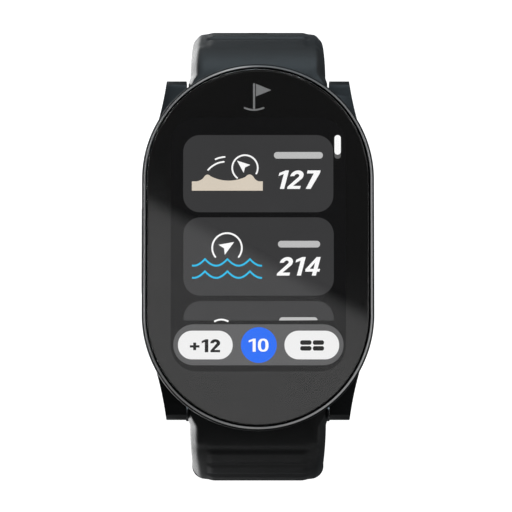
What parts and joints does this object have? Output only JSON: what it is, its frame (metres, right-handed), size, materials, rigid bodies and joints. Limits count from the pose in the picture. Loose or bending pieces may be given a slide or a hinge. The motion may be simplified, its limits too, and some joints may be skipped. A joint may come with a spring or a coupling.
{
  "type": "golf gps watch",
  "caption": "Watch with a tall pill-shaped head, full-face glass over a lit screen, square lugs and a two-piece rubber strap with adjustment slots and a pin buckle.",
  "frame": {"origin": "middle of the base, on the surface that the curved strap ends stand on", "axes": "+Z out of the watch face, +Y towards 12 o'clock, +X towards 3 o'clock"},
  "size_m": [0.0403, 0.079, 0.0702],
  "materials": {
    "bezel_silver": "fine satin with a bright chamfer",
    "case_dark": "dark satin coat",
    "cover_glass": "clear polished glass over a black mask",
    "screen": "lit screen",
    "strap_rubber": "satin silicone with cross ribs",
    "seal_rubber": "matte",
    "inner_plastic": "matte moulded",
    "back_plastic": "fine matte texture",
    "steel": "satin",
    "buckle_steel": "dark brushed",
    "board": "solder mask",
    "chip": "satin epoxy",
    "ceramic": "unglazed ceramic",
    "battery_foil": "foil pouch",
    "amber_film": "polyimide film",
    "contact_gold": "gold plate"
  },
  "bodies": {
    "head": {"mid_case": "case_dark", "bezel_ring": "bezel_silver", "cover_glass": "cover_glass", "glass_gasket": "seal_rubber", "display_panel": "screen", "display_frame": "inner_plastic", "display_flex": "amber_film", "main_pcb": "board", "processor": "chip", "shield_can": "steel", "gps_antenna": "ceramic", "battery": "battery_foil", "battery_lead": "amber_film", "vibration_motor": "steel", "back_cover": "back_plastic", "back_cover_seal": "seal_rubber", "back_cover_screw_1": "steel", "back_cover_screw_2": "steel", "back_cover_screw_3": "steel", "back_cover_screw_4": "steel", "charging_contact_1": "contact_gold", "charging_contact_2": "contact_gold", "charging_contact_3": "contact_gold", "charging_contact_4": "contact_gold", "side_key_seal": "seal_rubber", "side_key_switch": "chip"},
    "key": {"side_key": "case_dark", "side_key_clip": "steel"},
    "upper_root": {"upper_strap_root": "strap_rubber", "upper_spring_bar": "steel"},
    "upper_pin": {"upper_release_pin": "steel"},
    "upper_mid": {"upper_strap_mid": "strap_rubber"},
    "upper_bend": {"upper_strap_bend": "strap_rubber"},
    "upper_tail": {"upper_strap_tail": "strap_rubber"},
    "lower_root": {"lower_strap_root": "strap_rubber", "lower_spring_bar": "steel"},
    "lower_pin": {"lower_release_pin": "steel"},
    "lower_mid": {"lower_strap_mid": "strap_rubber"},
    "lower_end": {"lower_strap_end": "strap_rubber", "fixed_keeper": "strap_rubber"},
    "keeper_loop": {"sliding_keeper": "strap_rubber"},
    "buckle": {"buckle_frame": "buckle_steel", "buckle_bar": "steel"},
    "tongue": {"buckle_tongue": "buckle_steel"}
  },
  "joints": [
    {"name": "side_key_press", "type": "slide", "parent": "head", "child": "key", "axis": [1, 0, 0], "range_m": [0, 0.0003], "stiffness_N_per_m": 3000},
    {"name": "upper_strap_hinge", "type": "hinge", "parent": "head", "child": "upper_root", "pos_m": [0, 0.0264, 0.06219], "axis": [1, 0, 0], "range_deg": [0, 14]},
    {"name": "upper_pin_release", "type": "slide", "parent": "upper_root", "child": "upper_pin", "axis": [-1, 0, 0], "range_m": [0, 0.0013], "stiffness_N_per_m": 800},
    {"name": "upper_strap_flex", "type": "hinge", "parent": "upper_root", "child": "upper_mid", "pos_m": [0, 0.03925, 0.04486], "axis": [1, 0, 0], "range_deg": [0, 22], "stiffness_Nm_per_rad": 0.03},
    {"name": "upper_strap_flex_2", "type": "hinge", "parent": "upper_mid", "child": "upper_bend", "pos_m": [0, 0.03581, 0.02418], "axis": [1, 0, 0], "range_deg": [0, 22], "stiffness_Nm_per_rad": 0.03},
    {"name": "upper_strap_flex_3", "type": "hinge", "parent": "upper_bend", "child": "upper_tail", "pos_m": [0, 0.02744, 0.00517], "axis": [1, 0, 0], "range_deg": [0, 22], "stiffness_Nm_per_rad": 0.03},
    {"name": "lower_strap_hinge", "type": "hinge", "parent": "head", "child": "lower_root", "pos_m": [0, -0.0264, 0.06219], "axis": [-1, 0, 0], "range_deg": [0, 14]},
    {"name": "lower_pin_release", "type": "slide", "parent": "lower_root", "child": "lower_pin", "axis": [-1, 0, 0], "range_m": [0, 0.0013], "stiffness_N_per_m": 800},
    {"name": "lower_strap_flex", "type": "hinge", "parent": "lower_root", "child": "lower_mid", "pos_m": [0, -0.03936, 0.04676], "axis": [-1, 0, 0], "range_deg": [0, 22], "stiffness_Nm_per_rad": 0.03},
    {"name": "lower_strap_flex_2", "type": "hinge", "parent": "lower_mid", "child": "lower_end", "pos_m": [0, -0.03707, 0.02943], "axis": [-1, 0, 0], "range_deg": [0, 22], "stiffness_Nm_per_rad": 0.03},
    {"name": "keeper_slide", "type": "slide", "parent": "lower_end", "child": "keeper_loop", "axis": [0, -0.3233, 0.9463], "range_m": [0, 0.004]},
    {"name": "buckle_hinge", "type": "hinge", "parent": "lower_end", "child": "buckle", "pos_m": [0, -0.02506, 0.00578], "axis": [1, 0, 0], "range_deg": [-45, 60]},
    {"name": "tongue_hinge", "type": "hinge", "parent": "buckle", "child": "tongue", "pos_m": [0, -0.02506, 0.00578], "axis": [-1, 0, 0], "range_deg": [0, 60]}
  ],
  "couplings": [
    {"joint": "upper_strap_flex_2", "follows": "upper_strap_flex", "ratio": 1},
    {"joint": "upper_strap_flex_3", "follows": "upper_strap_flex", "ratio": 1},
    {"joint": "lower_strap_flex_2", "follows": "lower_strap_flex", "ratio": 1}
  ]
}
